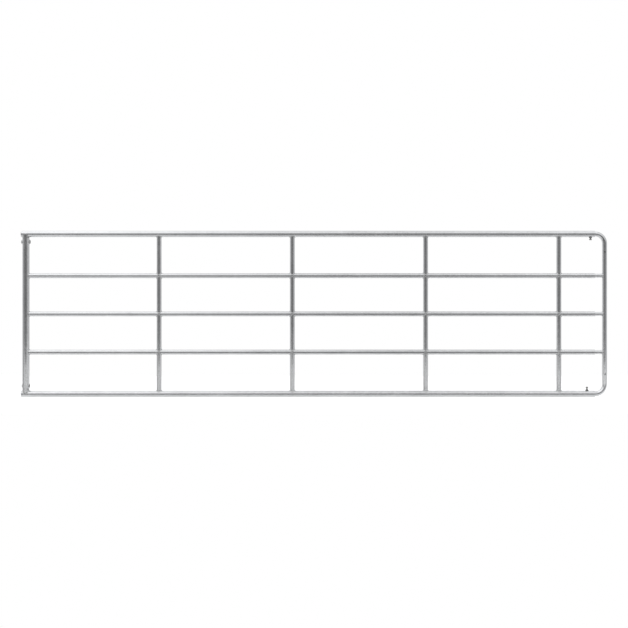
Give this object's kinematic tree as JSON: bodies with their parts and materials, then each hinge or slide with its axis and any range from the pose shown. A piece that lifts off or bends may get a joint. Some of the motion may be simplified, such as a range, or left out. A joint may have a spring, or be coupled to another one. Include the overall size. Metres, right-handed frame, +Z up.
{
  "type": "livestock gate",
  "caption": "Extending livestock gate of galvanised round tube: barred leaf with hinge sleeves and a rounded slam-end bow that telescopes in the rails and is held by locking screws.",
  "frame": {"origin": "middle of the top hinge sleeve, on the hanging stile's centre line", "axes": "+X along the rails from the hinges to the slam end, +Y through the leaf towards its back, +Z up"},
  "size_m": [3.9599, 0.0482, 1.122],
  "materials": {
    "galvanised_tube": "hot-dip galvanised, weathered to dull grey",
    "sliding_tube": "hot-dip galvanised, cleaner where it slides",
    "hinge_sleeve": "hot-dip galvanised",
    "pressed_cap": "hot-dip galvanised pressing",
    "welded_nut": "galvanised, dark round the weld",
    "plated_screw": "zinc-plated, dull"
  },
  "bodies": {
    "leaf": {"hanging_stile": "galvanised_tube", "top_hinge_sleeve": "hinge_sleeve", "bottom_hinge_sleeve": "hinge_sleeve", "top_rail": "galvanised_tube", "upper_rail": "galvanised_tube", "middle_rail": "galvanised_tube", "lower_rail": "galvanised_tube", "bottom_rail": "galvanised_tube", "top_rail_cap": "pressed_cap", "bottom_rail_cap": "pressed_cap", "stay_1_top": "galvanised_tube", "stay_1_upper": "galvanised_tube", "stay_1_lower": "galvanised_tube", "stay_1_bottom": "galvanised_tube", "stay_2_top": "galvanised_tube", "stay_2_upper": "galvanised_tube", "stay_2_lower": "galvanised_tube", "stay_2_bottom": "galvanised_tube", "stay_3_top": "galvanised_tube", "stay_3_upper": "galvanised_tube", "stay_3_lower": "galvanised_tube", "stay_3_bottom": "galvanised_tube", "stay_4_top": "galvanised_tube", "stay_4_upper": "galvanised_tube", "stay_4_lower": "galvanised_tube", "stay_4_bottom": "galvanised_tube", "top_lock_nut": "welded_nut", "bottom_lock_nut": "welded_nut"},
    "slam_end": {"slam_bow": "sliding_tube", "upper_slide_tube": "sliding_tube", "middle_slide_tube": "sliding_tube", "lower_slide_tube": "sliding_tube"},
    "top_screw": {"top_lock_screw": "plated_screw"},
    "bottom_screw": {"bottom_lock_screw": "plated_screw"}
  },
  "joints": [
    {"name": "slam_end_slide", "type": "slide", "parent": "leaf", "child": "slam_end", "axis": [1, 0, 0], "range_m": [0, 0.6]},
    {"name": "top_screw_turn", "type": "hinge", "parent": "leaf", "child": "top_screw", "pos_m": [3.814, 0, 0.0318], "axis": [0, 0, -1], "range_deg": [0, 1080]},
    {"name": "bottom_screw_turn", "type": "hinge", "parent": "leaf", "child": "bottom_screw", "pos_m": [3.79, 0, -1.0054], "axis": [0, 0, 1], "range_deg": [0, 1080]}
  ]
}
